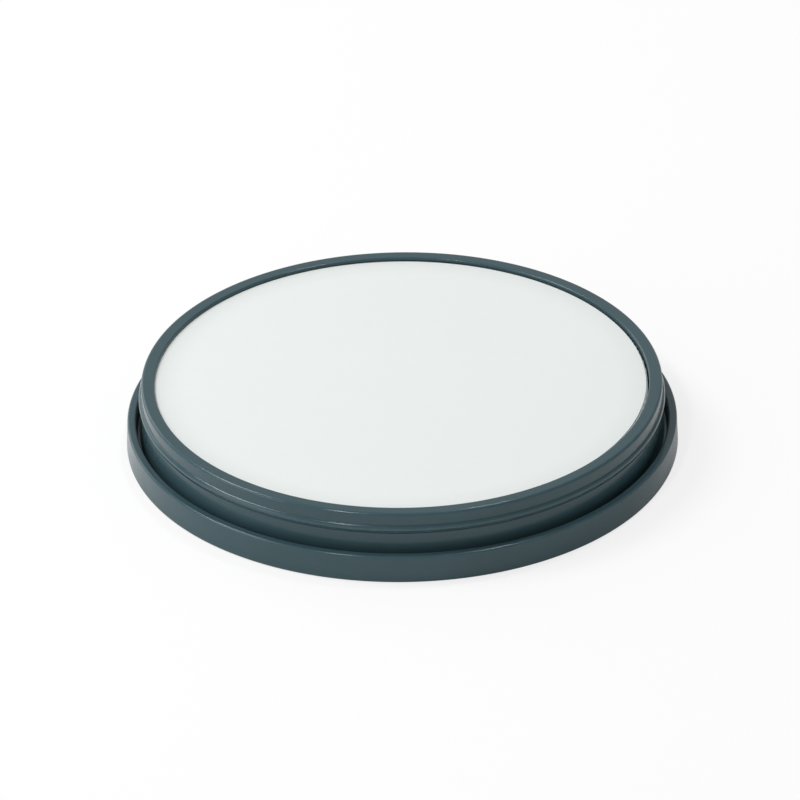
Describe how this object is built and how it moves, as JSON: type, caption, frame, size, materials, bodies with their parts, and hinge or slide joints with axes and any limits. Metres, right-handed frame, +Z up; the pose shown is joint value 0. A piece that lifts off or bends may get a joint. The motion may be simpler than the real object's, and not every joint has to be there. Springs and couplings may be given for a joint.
{
  "type": "round wet palette",
  "caption": "Round shallow palette dish with a neck for a push-on lid and an outer lip, holding a sponge pad under a sheet of palette paper that stays damp for mixing paint.",
  "frame": {"origin": "middle of the foot ring's underside, on the surface that the palette stands on", "axes": "+Z up along the axis of the round dish; X and Y are alike"},
  "size_m": [0.11, 0.11, 0.0139],
  "materials": {
    "dish_plastic": "satin",
    "sponge_foam": "matte",
    "paper_sheet": "matte"
  },
  "bodies": {
    "base": {"palette_dish": "dish_plastic"},
    "sponge": {"sponge_pad": "sponge_foam"},
    "paper": {"palette_paper": "paper_sheet"}
  },
  "joints": [
    {"name": "sponge_lift", "type": "slide", "parent": "base", "child": "sponge", "axis": [0, 0, 1], "range_m": [0, 0.02]},
    {"name": "paper_lift", "type": "slide", "parent": "sponge", "child": "paper", "axis": [0, 0, 1], "range_m": [0, 0.02]}
  ]
}
